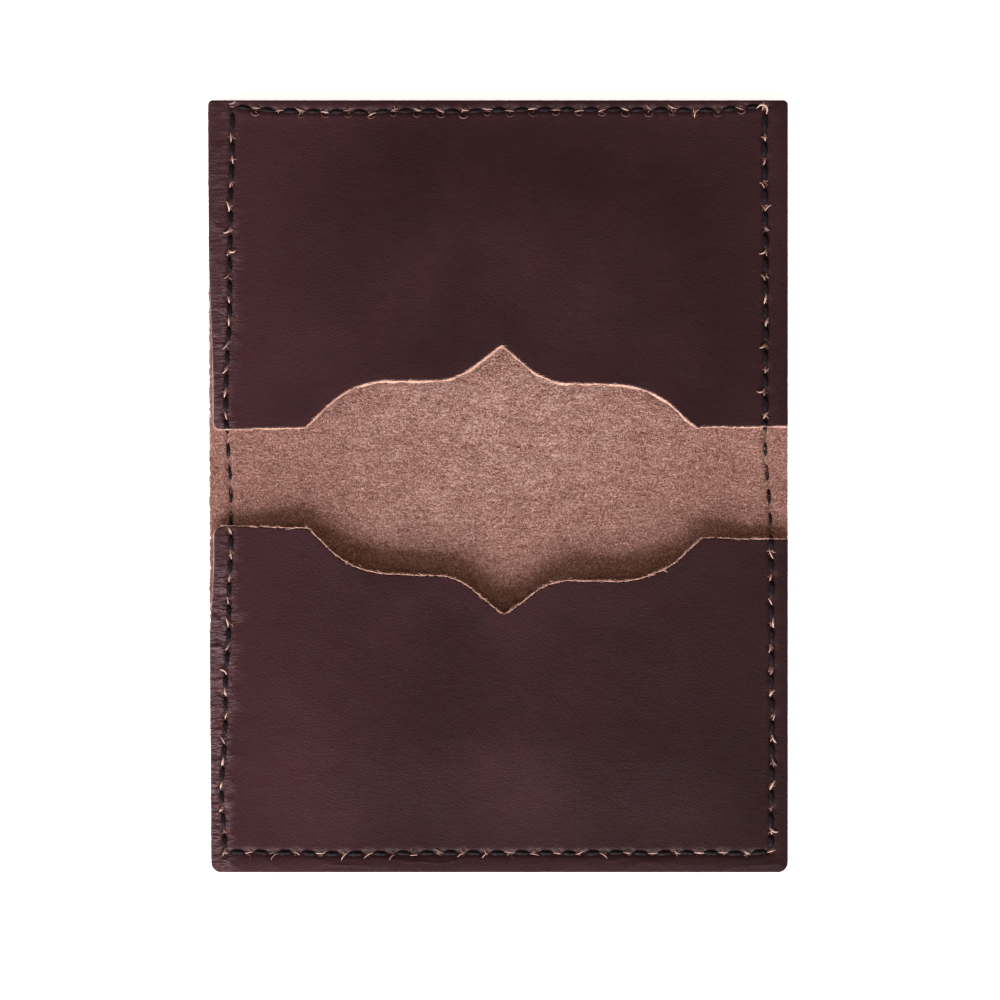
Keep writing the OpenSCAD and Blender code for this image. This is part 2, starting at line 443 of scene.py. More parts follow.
def grain_leather():
    """Smooth dark aniline-dyed leather: fine pores, soft mottling, red where it is worn."""
    n = Nodes("grain_leather")
    clouds = n.noise(0.035, 4.0, 0.55)
    patches = n.noise(0.35, 4.0, 0.6)
    pores = n.noise(3.2, 3.0, 0.6)
    base = n.mix(n.spread(clouds, 0.35, 0.68), OXBLOOD, OXBLOOD_LIGHT)
    dark_patches = (patches, 0.45, 0.75, 0.45, OXBLOOD_DARK)
    base = n.coat(base, dark_patches, (pores, 0.5, 0.72, 0.3, OXBLOOD_LIGHT))
    # Painted shade: the leather darker towards the right, and more so on the lower half.
    painted_shade_right = n.spread(n.place("X"), -20, 48, 0.0, 0.4)
    painted_shade_right = n.times(painted_shade_right, n.spread(n.place("Y"), 50, -40, 0.5, 1.5))
    base = n.mix(painted_shade_right, base, OXBLOOD_DARK)
    # Painted sheen: a lighter plum towards the left edge.
    base = n.coat(base, (n.place("X"), -10, -52, 0.6, PLUM_PAINTED_SHEEN))
    mottle = n.noise(1.3, 3.0, 0.6)
    worn = n.times(n.attribute("wear"), n.spread(mottle, 0.4, 0.62, 0.15, 1.0))
    base = n.mix(worn, base, RAW_RED)
    creased = n.attribute("creased")
    lines = n.noise(1.0, 3.0, 0.6, n.stretched((0.32, 2.3, 1.0), n.warped(0.7, 0.35)))
    folds = n.spread(n.maths("ABSOLUTE", n.maths("SUBTRACT", lines, 0.5), 0.0), 0.075, 0.0)
    folds = n.times(folds, creased)
    # Painted shade in the hollows between the creases.
    painted_crease_shade = n.times(n.spread(lines, 0.42, 0.30), creased)
    base = n.mix(n.times(painted_crease_shade, 0.75), base, OXBLOOD_DARK)
    # Painted highlight along the crease crests.
    base = n.mix(n.times(folds, 0.75), base, CREST_PAINTED_HIGHLIGHT)
    warped = n.warped(0.5, 0.8)
    grain = n.cells(1.6, warped)
    fine = n.noise(7.0, 3.0, 0.65)
    height = n.maths("ADD", n.spread(grain, 0.0, 0.22, 0.0, 1.0), n.times(fine, 1.1))
    normal = n.bump(height, 0.42, 0.05)
    normal = n.bump(folds, 0.9, 0.12, normal)
    swell = n.bump(n.noise(0.22, 3.0, 0.5), 0.5, 0.2, normal)
    roughness = n.spread(n.maths("ADD", fine, patches), 0.7, 1.3, 0.40, 0.56)
    return n.finish(
        base,
        roughness,
        swell,
        Specular_IOR_Level=0.12,
        Sheen_Weight=0.01,
        Sheen_Roughness=0.4,
        Sheen_Tint=(0.75, 0.5, 0.8, 1),
    )


SUEDE = (0.278, 0.156, 0.131)
SUEDE_LIGHT = (0.408, 0.261, 0.227)
SUEDE_PALE = (0.460, 0.296, 0.256)
SUEDE_BROWN = (0.132, 0.041, 0.031)
SUEDE_DARK = (0.084, 0.022, 0.015)
SUEDE_RED = (0.190, 0.076, 0.058)


def suede():
    """The flesh side: short matted nap in pinkish tan, with light flecks and dark streaks."""
    n = Nodes("suede")
    warped = n.warped(0.9, 1.1)
    combed = n.stretched((0.5, 1.2, 1.0), warped)
    streaks = n.noise(1.7, 5.0, 0.75, combed)
    flecks = n.noise(3.3, 4.0, 0.75, warped)
    patches = n.noise(0.2, 5.0, 0.68)
    smudges = n.noise(0.42, 5.0, 0.68, n.stretched((0.6, 1.2, 1.0)))
    hairs = n.noise(5.5, 2.0, 0.6, n.warped(0.4, 3.0))
    base = n.mix(n.spread(patches, 0.36, 0.64), SUEDE, SUEDE_LIGHT)
    base = n.coat(base, (smudges, 0.49, 0.62, 0.9, SUEDE_RED))
    # Painted shade: the suede darker towards its left and right sides.
    side_painted_shade = n.spread(n.maths("ABSOLUTE", n.place("X"), 0.0), 6, 44, 0.0, 0.68)
    base = n.mix(side_painted_shade, base, SUEDE_RED)
    clouds = n.noise(0.085, 4.0, 0.62)
    # Painted shade: the suede darker from 9 mm above the fold downward.
    painted_shade_below_fold = (n.place("Y"), 9, 0, 0.42, SUEDE_RED)
    base = n.coat(base, (clouds, 0.47, 0.62, 0.6, SUEDE_RED), painted_shade_below_fold)
    gathered = n.spread(n.noise(0.13, 3.0, 0.6), 0.42, 0.56, 0.6, 1.0)
    clumps = n.noise(0.75, 5.0, 0.72, n.stretched((0.42, 1.5, 1.0), warped))
    clumps = n.times(n.spread(clumps, 0.51, 0.62), gathered)
    base = n.mix(clumps, base, SUEDE_BROWN)
    dark_streaks = n.times(n.spread(streaks, 0.51, 0.38), gathered)
    base = n.mix(dark_streaks, base, SUEDE_DARK)
    base = n.coat(
        base,
        (flecks, 0.51, 0.60, 0.9, SUEDE_PALE),
        (flecks, 0.49, 0.38, 1.0, SUEDE_BROWN),
        (hairs, 0.53, 0.62, 0.6, SUEDE_PALE),
        (hairs, 0.47, 0.36, 0.9, SUEDE_BROWN),
    )
    # More painted shade towards the sides.
    base = n.mix(n.times(side_painted_shade, 0.3), base, SUEDE_BROWN)
    # Painted shadow of the lower pocket's mouth, darkening the suede from 7 mm below the fold.
    base = n.coat(base, (n.place("Y"), -7, -16, 0.25, SUEDE_BROWN))
    height = n.maths("ADD", streaks, n.times(flecks, 0.6))
    normal = n.bump(height, 1.0, 0.38)
    return n.finish(
        base,
        n.spread(flecks, 0.3, 0.7, 0.86, 1.0),
        normal,
        Specular_IOR_Level=0.12,
        Sheen_Weight=0.15,
        Sheen_Roughness=0.5,
        Sheen_Tint=(1.0, 0.85, 0.8, 1),
    )


EDGE_PALE = (0.35, 0.212, 0.160)
EDGE_DARK = (0.13, 0.055, 0.04)


def cut_edge():
    """Raw cut leather: pale layered fibre, a little stained."""
    n = Nodes("cut_edge")
    layers = n.noise(2.2, 4.0, 0.6, n.stretched((1.0, 1.0, 3.5)))
    stains = n.noise(0.25, 3.0, 0.5)
    base = n.mix(n.spread(layers, 0.3, 0.62), EDGE_DARK, EDGE_PALE)
    base = n.coat(base, (stains, 0.5, 0.75, 0.4, EDGE_DARK))
    normal = n.bump(layers, 0.8, 0.12)
    return n.finish(base, n.spread(layers, 0.3, 0.7, 0.8, 0.95), normal, Specular_IOR_Level=0.2)


def black_thread():
    """Waxed black thread, faintly plum where the light catches its fibres."""
    n = Nodes("black_thread")
    fibres = n.noise(5.0, 3.0, 0.6, n.warped(0.3, 2.0))
    base = n.mix(n.spread(fibres, 0.35, 0.7), (0.0040, 0.0020, 0.0027), (0.0100, 0.0066, 0.0090))
    normal = n.bump(fibres, 0.6, 0.06)
    roughness = n.spread(fibres, 0.3, 0.7, 0.72, 0.58)
    return n.finish(base, roughness, normal, Specular_IOR_Level=0.06)


def leather_fibre(name, pale, red):
    """Loose fibres, from pale to red by the shade that each one is given."""
    n = Nodes(name)
    streaks = n.noise(3.0, 2.0, 0.5)
    base = n.mix(n.attribute("shade"), pale, red)
    base = n.coat(base, (streaks, 0.4, 0.7, 0.35, SUEDE_DARK))
    return n.finish(base, n.spread(streaks, 0.3, 0.7, 0.75, 0.95), Specular_IOR_Level=0.2)


def pale_floor():
    """Matt paper white that glows a little, so that the case's shadow stays soft."""
    n = Nodes("pale_floor")
    position = n.add("ShaderNodeNewGeometry").outputs["Position"]
    mottle = n.noise(6.0, 3.0, 0.5, position)
    base = n.mix(n.spread(mottle, 0.3, 0.7), (0.90, 0.90, 0.90), (0.93, 0.93, 0.93))
    n.link(base, n.shader.inputs["Emission Color"])
    return n.finish(base, 0.9, Specular_IOR_Level=0.1, Emission_Strength=0.76)


GRAIN, SUEDE_SIDE, EDGE = grain_leather(), suede(), cut_edge()
THREAD = black_thread()
HOLE_FIBRE = leather_fibre("hole_fibre", (0.37, 0.240, 0.208), (0.055, 0.019, 0.018))
NAP_FIBRE = leather_fibre("nap_fibre", (0.40, 0.24, 0.195), (0.15, 0.06, 0.045))

FLOOR_HALF = 3.0
corners = [(FLOOR_HALF * x, FLOOR_HALF * y, 0) for x, y in ((-1, -1), (1, -1), (1, 1), (-1, 1))]
floor_mesh = bpy.data.meshes.new("floor")
floor_mesh.from_pydata(corners, [], [(0, 1, 2, 3)])
floor_mesh.materials.append(pale_floor())
floor = new_object("floor", floor_mesh)

# ---- The seam: needle holes all round, in the order that the thread runs

SIDE_STITCHES, END_STITCHES = 32, 23
HIGH_CORNER_X, LOW_CORNER_X = 47.0, 48.0
HOLE_SCATTER = 0.13
seam_low = thread_box["lower"][0][1] + THREAD_R
seam_high = thread_box["upper"][1][1] - THREAD_R


def left_seam_x(y):
    low = [(seam_low, -48.1), (-54, -48.7), (-38, -48.05), (-26, -47.5), (-6, -47.0)]
    return wander(y, low + [(13, -47.95), (30, -47.4), (66, -46.85)])


def right_seam_x(y):
    return wander(
        y, [(seam_low, 48.0), (-45, 48.2), (-9, 48.05), (10, 46.95), (35, 47.1), (66, 46.9)]
    )


def high_seam_y(x):
    middle = wander(x, [(-30, 0.55), (-8, 0.6), (12, 0.85), (30, 0.85)])
    return seam_high + middle + 0.9 * bump(np.abs(x) - HIGH_CORNER_X, 4.0)


def low_seam_y(x):
    return seam_low + wander(x, [(-48, 0.6), (-30, 0.25), (0, 0.35), (48, 0.25)])


def needle_holes():
    """(x, y) of each hole, clockwise from the lower left corner, uneven as hand-guided work."""
    random = np.random.RandomState(11)
    ys = np.linspace(seam_low, seam_high, SIDE_STITCHES + 1)
    left = np.column_stack([left_seam_x(ys), ys])
    right = np.column_stack([right_seam_x(ys), ys])[::-1]
    right[0, 1] = left[-1, 1] = high_seam_y(-HIGH_CORNER_X)
    right[-1, 1] = left[0, 1] = low_seam_y(-LOW_CORNER_X)
    xs = np.linspace(left[-1, 0], right[0, 0], END_STITCHES + 1)[1:-1]
    top = np.column_stack([xs, high_seam_y(xs)])
    xs = np.linspace(right[-1, 0], left[0, 0], END_STITCHES + 1)[1:-1]
    bottom = np.column_stack([xs, low_seam_y(xs)])
    holes = np.concatenate([left, top, right, bottom])
    return holes + random.uniform(-HOLE_SCATTER, HOLE_SCATTER, holes.shape)


HOLES = needle_holes()
NEXT = np.roll(HOLES, -1, 0)
SEAM_LINE = np.concatenate([HOLES, HOLES[:1]])


def hole_distance(x, y):
    """Distance to the nearest needle hole."""
    out = np.full(x.shape, FAR)
    for hx, hy in HOLES:
        np.minimum(out, np.hypot(x - hx, y - hy), out=out)
    return out


# ---- Outlines

# The notch from its middle out: a peak, hollow feet, flat shoulders, round ends at 45 degrees
SHOULDER_DEPTH, SHOULDER_X, PEAK_FOOT_X = 8.15, 19.5, 11.5
SHOULDER_R, PEAK_R, PEAK_SLOPE = 15.0, 10.0, math.radians(37)
TANGENT = SHOULDER_R * math.cos(math.pi / 4)
FOOT_X = SHOULDER_X + TANGENT
NOTCH_X = FOOT_X + SHOULDER_DEPTH - SHOULDER_R + TANGENT
PEAK_SIDE_X = PEAK_FOOT_X - PEAK_R * math.sin(PEAK_SLOPE)
PEAK_SIDE_Y = SHOULDER_DEPTH + PEAK_R * (1 - math.cos(PEAK_SLOPE))
NOTCH_BREAKS = [0, PEAK_SIDE_X, PEAK_FOOT_X, SHOULDER_X, FOOT_X, NOTCH_X]
NOTCH_STRETCH, PEAK_BLUNT = 1.02, 0.25


def notch_depth(x):
    """How far the ogee notch goes into the pocket, x from the notch's middle."""
    a = np.abs(x)
    blunt = np.sqrt(a * a + PEAK_BLUNT**2)
    straight = PEAK_SIDE_Y + (PEAK_SIDE_X - blunt) * math.tan(PEAK_SLOPE)
    hollow = SHOULDER_DEPTH + PEAK_R
    hollow = hollow - np.sqrt(np.maximum(PEAK_R**2 - (PEAK_FOOT_X - a) ** 2, 0))
    rounded = SHOULDER_DEPTH - SHOULDER_R
    rounded = rounded + np.sqrt(np.maximum(SHOULDER_R**2 - (a - SHOULDER_X) ** 2, 0))
    zones = [a < PEAK_SIDE_X, a < PEAK_FOOT_X, a < SHOULDER_X, a < FOOT_X, a < NOTCH_X]
    return np.select(zones, [straight, hollow, SHOULDER_DEPTH, rounded, NOTCH_X - a], 0.0)


def cover_left(y):
    return -half_w + wander(y, [(low_end, 0.45), (-20, 0.2), (20, 0.1), (high_end, -0.1)])


def pocket_left(y):
    """The pockets' left edges, which stand back from the cover's near their mouths."""
    back = np.where(y > 0, 0.75 * step(-y, -44, -14), 0.75 * step(y, -28, -12))
    return cover_left(y) + back


def round_corner(x, y, corner_x, corner_y, radius):
    """Presses the square corner of a grid into a quarter circle. The signs of the two corner
    steps come from which side of the corner the grid lies on."""
    side_x, side_y = np.sign(x.mean() - corner_x), np.sign(y.mean() - corner_y)
    u = (corner_x + side_x * radius - x) * side_x / radius
    v = (corner_y + side_y * radius - y) * side_y / radius
    inside = (u > 0) & (v > 0)
    u, v = np.clip(u, 0, 1), np.clip(v, 0, 1)
    nu, nv = u * np.sqrt(1 - v * v / 2), v * np.sqrt(1 - u * u / 2)
    x = np.where(inside, corner_x + side_x * radius * (1 - nu), x)
    y = np.where(inside, corner_y + side_y * radius * (1 - nv), y)
    return x, y


# Grid lines beside an edge, closest where it is rounded, and how many of them the rounding needs
EDGE_RUN = ((0.06, 0.03), (0.3, 0.08), (1.9, 0.2))
BORDER_LINES = 9


def border_distance(x, y, line, with_first_rows):
    """Distance to the outline for a grid's outermost lines, and FAR for all others."""
    near = np.zeros(x.shape, bool)
    near[-BORDER_LINES:] = True
    near[:BORDER_LINES] = with_first_rows
    near[:, :BORDER_LINES] = near[:, -BORDER_LINES:] = True
    out = np.full(x.shape, FAR)
    out[near] = nearest_distance(x[near], y[near], line)
    return out


def rounded_drop(distance, radius):
    """How far a quarter-round edge lies below the surface, at a distance from the outline."""
    return radius - np.sqrt(np.maximum(radius**2 - np.maximum(radius - distance, 0) ** 2, 0))


def ridges(x, y, stretch_x, stretch_y, seed):
    """Thin ridges that run along X, from 0 to 1."""
    warp = value_noise(x / 5, y / 5, seed + 1) * 0.8
    noise = value_noise(x / stretch_x, y / stretch_y + warp, seed)
    return (1 - np.abs(noise)) ** 4


GROOVE_DEPTH, GROOVE_W = 0.24, 0.55
DENT_DEPTH, DENT_W = 0.30, 0.62


def seam_relief(x, y):
    """How the stitches pull the leather down, in the groove and at each hole."""
    near = nearest_distance(x, y, SEAM_LINE)
    return -GROOVE_DEPTH * bump(near, GROOVE_W) - DENT_DEPTH * bump(hole_distance(x, y), DENT_W)


# ---- Pockets

MIDDLE_ROWS = 185
DOME_W = 22  # over which a panel rises from its seam to its full height
POCKET_EDGE_R, COVER_EDGE_R = 0.26, 0.3


class Pocket:
    """One pocket. side is 1 for the upper one and -1 for the lower one."""

    def __init__(self, side):
        self.side = side
        self.end = END_Y[side]
        self.mouth_r = 1.2 if side > 0 else 1.9
        self.lean = 0.45 if side > 0 else 0.28
        # How far the panel lies askew, and how far the knife strayed, along x
        if side > 0:
            self.sway = [(-half_w, -0.75), (-30, -0.35), (half_w, 0.25)]
            self.cut = [(0.4, 0), (5.7, -0.64), (13, -0.75), (23, -1.1), (33, -1.1), (36.5, -0.5)]
        else:
            self.sway = [(-half_w, -1.35), (-30, -0.8), (30, 0.35), (half_w, 0.6)]
            self.cut = [(-31, -0.35), (-20, -0.6), (-8, -0.45), (0, 0), (10, -0.3), (27, -0.35)]
            self.cut += [(32, 0.1)]
        self.notch_x = 0.6 if side > 0 else 1.1

    def mouth(self, x):
        """Distance from the fold to the mouth, at x."""
        level = upper_mouth if self.side > 0 else -lower_mouth
        wave = 0.06 * value_noise(x / 2.5, 0, 31 + self.side)
        notch = notch_depth((x - self.notch_x) / NOTCH_STRETCH)
        return level + wander(x, self.sway) + wander(x, self.cut) + wave + notch

    def grid(self):
        """x, y and the distance from the mouth, with y counted away from the fold."""
        near = from_edge(*EDGE_RUN, (8.0, 0.22))
        far = from_edge(*EDGE_RUN, (5.4, 0.22))
        left, right = -half_w + near, (half_w - far)[::-1]
        notch = [self.notch_x + NOTCH_STRETCH * s * b for b in NOTCH_BREAKS for s in (-1, 1)]
        middle = between(sorted({left[-1], right[0], *np.round(notch, 6)}), 0.7)
        xs = np.concatenate([left[:-1], middle, right[1:]])
        run = from_edge(*EDGE_RUN)
        last = from_edge(*EDGE_RUN, (5.6, 0.22))[::-1]
        mouth = self.mouth(xs)
        slope = np.sqrt(1 + np.gradient(mouth, xs) ** 2)
        rows = [mouth + r * np.minimum(slope, 1.5) for r in run]
        start, stop = rows[-1], self.end - last[0]
        rows += [start + (stop - start) * k / MIDDLE_ROWS for k in range(1, MIDDLE_ROWS)]
        rows += [np.full(len(xs), self.end - r) for r in last]
        y = np.array(rows)
        x = np.broadcast_to(xs, y.shape).copy()
        shift = pocket_left(y * self.side) + half_w
        x = x + shift * (1 - step(x, -half_w, -half_w + 6))
        return x, y

    def rounded(self, x, y):
        mouth_left = self.mouth(np.array([-half_w]))[0]
        left = pocket_left(np.array([mouth_left * self.side]))[0]
        x, y = round_corner(x, y, left, mouth_left, self.mouth_r)
        x, y = round_corner(x, y, x[-1, 0], self.end, CORNER_R[self.side])
        return round_corner(x, y, half_w, self.end, CORNER_R[self.side])

    def base_height(self, x, y, mouth_gap):
        """The smooth part of the top surface: flat at the seam, domed inside it."""
        real_y = y * self.side
        seam_end = seam_high if self.side > 0 else -seam_low
        from_left, from_right = x - left_seam_x(real_y), right_seam_x(real_y) - x
        filled = 1.0
        for inward in (from_left, from_right, seam_end - y):
            filled = filled * step(inward, 0, DOME_W)
        rise = (pocket_top - rim_top - 0.10) * filled
        swell = 0.25 * bump(mouth_gap, 5.0) * step(np.minimum(from_left, from_right), 2, 12)
        slow = 0.08 * value_noise(x / 14, real_y / 11, 41) * filled
        return rim_top + rise + swell + slow

    def heights(self, x, y, mouth_gap):
        """Top, underside, wear and how creased each point is."""
        real_y = y * self.side
        base = self.base_height(x, y, mouth_gap)
        relief = seam_relief(x, real_y)
        to_edge = np.minimum(np.minimum(x + half_w, half_w - x), self.end - y)
        to_hole = hole_distance(x, real_y)
        puff = 0.10 * bump(to_edge - 1.6, 1.3) * (1 - 0.7 * bump(to_hole, 1.6))
        past_seam = x - left_seam_x(real_y)
        reach = 2.6 + 1.3 * value_noise(real_y / 1.4, 0, 63) + value_noise(x / 2, real_y / 0.8, 64)
        left = 1 - 0.25 * step(past_seam, -0.8, 0.4) - 0.75 * step(past_seam, 0.1, reach)
        strong = [(low_end, 0.7), (-56, 1.0), (-30, 0.9), (-12, 0.45), (30, 0.5), (60, 0.15)]
        bent = left * wander(real_y, strong)
        patchy = 0.45 + 0.55 * step(value_noise(x / 1.6, real_y / 2.2, 65), -0.5, 0.5)
        creased = bent * patchy
        long_ridges = ridges(x, real_y, 5.0, 1.25, 51)
        wrinkle = creased * (0.18 * long_ridges + 0.20 * ridges(x, real_y, 3.2, 0.7, 61))
        to_end = self.end - y
        if self.side > 0:
            low = 0.06 * ridges(real_y, x, 9.0, 2.2, 71)
        else:
            low = 0.10 * bump(to_end - 2.0, 1.6) * ridges(x, real_y, 9.0, 1.3, 81)
        low = low * bump(to_end - 1.6, 1.8)
        fine = 0.012 * value_noise(x / 0.5, real_y / 0.5, 91)
        top = base + relief + puff + wrinkle + low + fine
        wear = 0.7 * bump(to_hole, 0.9) + 0.5 * bent * bump(to_hole, 1.8)
        wear = wear * step(value_noise(x / 1.1, real_y / 1.1, 95), -0.4, 0.5)
        wear = wear + 0.4 * bent * step(-long_ridges, -0.4, 0.0)
        return top, base - POCKET_T, np.clip(wear, 0, 1), creased

    def build(self):
        x, y = self.grid()
        gap = y - self.mouth(x)
        x, y = self.rounded(x, y)
        top, bottom, wear, creased = self.heights(x, y, gap)
        loop = edge_loop(*x.shape)
        outline = np.stack([x.ravel()[loop], y.ravel()[loop]], 1)
        closed = np.concatenate([outline, outline[:1]])
        top = top - rounded_drop(border_distance(x, y, closed, True), POCKET_EDGE_R)
        bottom = np.maximum(bottom, cover_t + 0.01)
        edge_x, edge_y = outline.T
        on_mouth = bump(np.maximum(gap.ravel()[loop], 0), 0.5) * (edge_x < half_w - 0.2)
        in_notch = 0.5 + 0.5 * step(NOTCH_X + 1 - np.abs(edge_x - self.notch_x), 0, 2)
        left_bare = (edge_x < -half_w + 2) * step(-edge_y, -26, -11)
        uneven = 0.7 + 0.5 * value_noise(edge_x / 1.7, edge_y / 1.7, 97)
        slant = np.zeros(x.shape)
        leaning = (self.lean * uneven - 0.06) * np.maximum(on_mouth * in_notch, left_bare)
        slant.ravel()[loop] = 0.06 + leaning
        y = y * self.side
        grids = (x, y, top, bottom, slant, wear, creased)
        *grids, wear, creased = (a[:: self.side] for a in grids)
        verts, faces, zones = shell(*grids, roughness=0.035, seed=7)
        wear, creased = (np.append(a, np.zeros(len(verts) - a.size)) for a in (wear, creased))
        materials = [GRAIN, EDGE, SUEDE_SIDE]
        name = "pocket_panel_" + dict(SIDES)[self.side]
        return new_piece(name, verts, faces, materials, zones, wear=wear, creased=creased)


upper_pocket, lower_pocket = Pocket(1), Pocket(-1)
POCKETS = ((upper_pocket, "upper"), (lower_pocket, "lower"))
for pocket, end in POCKETS:
    panel = pocket.build()
    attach(panel, end + "_half")
    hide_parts("pocket_" + end)

# ---- Cover, in two pieces that meet in the middle of the spine


def on_pocket(x, y):
    """1 where a pocket lies on the cover, 0 on the bare suede, sloping over its mouth."""
    upper = y - upper_pocket.mouth(x)
    lower = -y - lower_pocket.mouth(x)
    return step(np.maximum(upper, lower), -0.7, 0.5)


def cover_piece(name, side):
    """One half of the cover, from the middle of the spine outward. Its seam is sewn in on both
    sides, and its underside is the grain, worn at the holes and along the spine."""
    end = END_Y[side]
    near = from_edge(*EDGE_RUN, (5.4, 0.24))
    inner = half_w - near[-1]
    middle = between([-inner, inner], 0.45)[1:-1]
    xs = np.concatenate([-half_w + near, middle, (half_w - near)[::-1]])
    tail = from_edge(*EDGE_RUN, (5.6, 0.24))[::-1]
    open_y, open_rows, hidden_rows = 28.0, 71, 24
    hidden = np.linspace(open_y, end - tail[0], hidden_rows)[1:-1]
    ys = np.concatenate([np.linspace(0, open_y, open_rows), hidden, end - tail])
    x, y = np.meshgrid(xs, ys)
    real_y = y * side
    fray = 0.15 * value_noise(real_y / 0.5, 0, 101) + 0.12 * value_noise(real_y / 2.6, 0, 102)
    shift = cover_left(real_y) + half_w + fray
    x = x + shift * (1 - step(x, -half_w, -half_w + 6))
    x, y = round_corner(x, y, x[-1, 0], end, CORNER_R[side])
    x, y = round_corner(x, y, half_w, end, CORNER_R[side])
    real_y = y * side
    near_seam = nearest_distance(x, real_y, SEAM_LINE)
    holes = hole_distance(x, real_y)
    bare = 1 - on_pocket(x, real_y)
    nap = 0.05 * value_noise(x / 0.9, real_y / 0.9, 111)
    nap = nap + 0.07 * value_noise(x / 4, real_y / 3, 112)
    top = cover_t - 0.03 + bare * (nap - 0.30 * bump(near_seam, 0.42) - 0.25 * bump(holes, 0.5))
    spine_ridges = ridges(x, real_y, 14.0, 1.6, 114)
    bottom = (
        0.02
        + 0.36 * bump(near_seam, 0.62)
        + 0.30 * bump(holes, 0.5)
        + 0.03 * (1 + value_noise(x / 6, real_y / 6, 113))
        + 0.05 * spine_ridges * bump(real_y, 7.0)
    )
    underside_wear = 0.6 * bump(holes, 0.8) + 0.25 * (bump(real_y, 6.0) * spine_ridges)
    loop = edge_loop(*x.shape)
    outline = np.stack([x.ravel()[loop], y.ravel()[loop]], 1)
    # The cut across the spine isn't an edge
    open_line = np.concatenate([outline[len(xs) - 1 :], outline[:1]])
    drop = rounded_drop(border_distance(x, y, open_line, False), COVER_EDGE_R)
    bottom = bottom + drop
    top = top - 0.5 * drop
    grids = (x, real_y, top, bottom, np.zeros(x.shape), underside_wear)
    *grids, underside_wear = (a[::side] for a in grids)
    verts, faces, zones = shell(*grids, roughness=0.0, seed=8)
    random = np.random.RandomState(9 + side)
    last = len(verts) - x.size
    wall = np.arange(x.size, last)
    on_cut = np.abs(verts[:, 1]) < TINY
    jitter = random.uniform(-0.04, 0.04, (len(wall), 1)) * (~on_cut[wall])[:, None]
    verts[wall, 0:1] += jitter
    wear = np.append(np.zeros(last), np.clip(underside_wear, 0, 1))
    piece = new_piece(name, verts, faces, [SUEDE_SIDE, EDGE, GRAIN], zones, wear=wear)
    sharpen(piece, on_cut)
    return piece


def bend_over_crease(piece, side):
    """Bakes the piece's placement into its mesh, without bending it. side is 1 for a piece over
    the upper crease and -1 for one over the lower crease.
    """
    if side > 0:
        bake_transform(piece)
    else:
        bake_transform(piece)


for side, end in SIDES:
    panel = cover_piece("cover_panel_" + end, side)
    bend_over_crease(panel, side)
    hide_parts("cover_" + end, "cover_spine")

# ---- Stitches


def surface_z(x, y):
    """Height of the surface that the inside stitches lie on."""
    share = on_pocket(x, y)
    return cover_t - 0.18 + share * (rim_top - 0.08 - cover_t + 0.18)


HOLE_SHARE = 0.13  # how much of the way between two holes each hole takes
STITCH_R, STITCH_POINTS = 0.44, 23


def stitch_paths(inside):
    """Paths and radii of all stitches, as strands takes them, with the level direction across each
    one.
    """
    t = np.linspace(0, 1, STITCH_POINTS)
    start = HOLES + (NEXT - HOLES) * HOLE_SHARE
    stop = NEXT - (NEXT - HOLES) * HOLE_SHARE
    random = np.random.RandomState(21 if inside else 22)
    level = start[:, None] + (stop - start)[:, None] * t[:, None]
    along = unit(stop - start)
    across = np.stack([-along[:, 1], along[:, 0]], 1)
    lean = random.uniform(-0.22, 0.22, (len(HOLES), 1))
    level = level + across[:, None] * (lean * (t - 0.5))[..., None]
    dive = np.abs(2 * t - 1) ** 3.4
    x, y = level[..., 0], level[..., 1]
    bare = 1 - on_pocket(x, y)
    if inside:
        z = surface_z(x, y) - (0.95 - 0.25 * bare) * dive
    else:
        z = np.broadcast_to(0.36 + 0.6 * dive, x.shape)
    sizes = random.uniform(0.9, 1.08, (len(HOLES), 1)) * (1 - 0.14 * np.abs(along[:, :1]))
    radii = sizes * (STITCH_R - 0.2 * dive)
    if inside:
        radii = radii * (1 - 0.28 * bare)
    return np.stack([x, y, z], -1), radii, across


def cut_runs(paths, radii, across, side):
    """The stitches on one side of the middle of the spine, with those that cross it cut."""
    out = []
    for path, radius, sideways in zip(paths, radii, across):
        ys = path[:, 1] * side
        if ys.max() <= TINY:
            continue
        if ys.min() < 0:
            order = np.argsort(ys)
            target = np.linspace(0, ys.max(), len(ys))
            cut = np.stack([np.interp(target, ys[order], path[order, k]) for k in range(3)], 1)
            cut[:, 1] = target * side
            radius = np.interp(target, ys[order], radius[order])
            if ys[0] > ys[-1]:
                cut, radius = cut[::-1], radius[::-1]
            path = cut
        out.append((path, radius, sideways))
    return [np.array(a) for a in zip(*out)]


for inside, kind in ((True, "bobbin"), (False, "needle")):
    paths, radii, across = stitch_paths(inside)
    for side, end in SIDES:
        some_paths, some_radii, some_across = cut_runs(paths, radii, across, side)
        sideways = np.concatenate([some_across, np.zeros((len(some_across), 1))], 1)
        verts, faces = strands(
            some_paths, some_radii, 12, flatness=0.72, lobes=0.13, twist=5.2, sideways=sideways
        )
        piece = new_piece(f"{kind}_stitches_{end}", verts, faces, [THREAD])
        bend_over_crease(piece, side)
        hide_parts(f"{kind}_thread_{end}", f"{kind}_thread_spine")

# ---- Loose fibres: burst leather at the needle holes, nap on the suede, fray along the edges


FIBRE_SIDES = 4


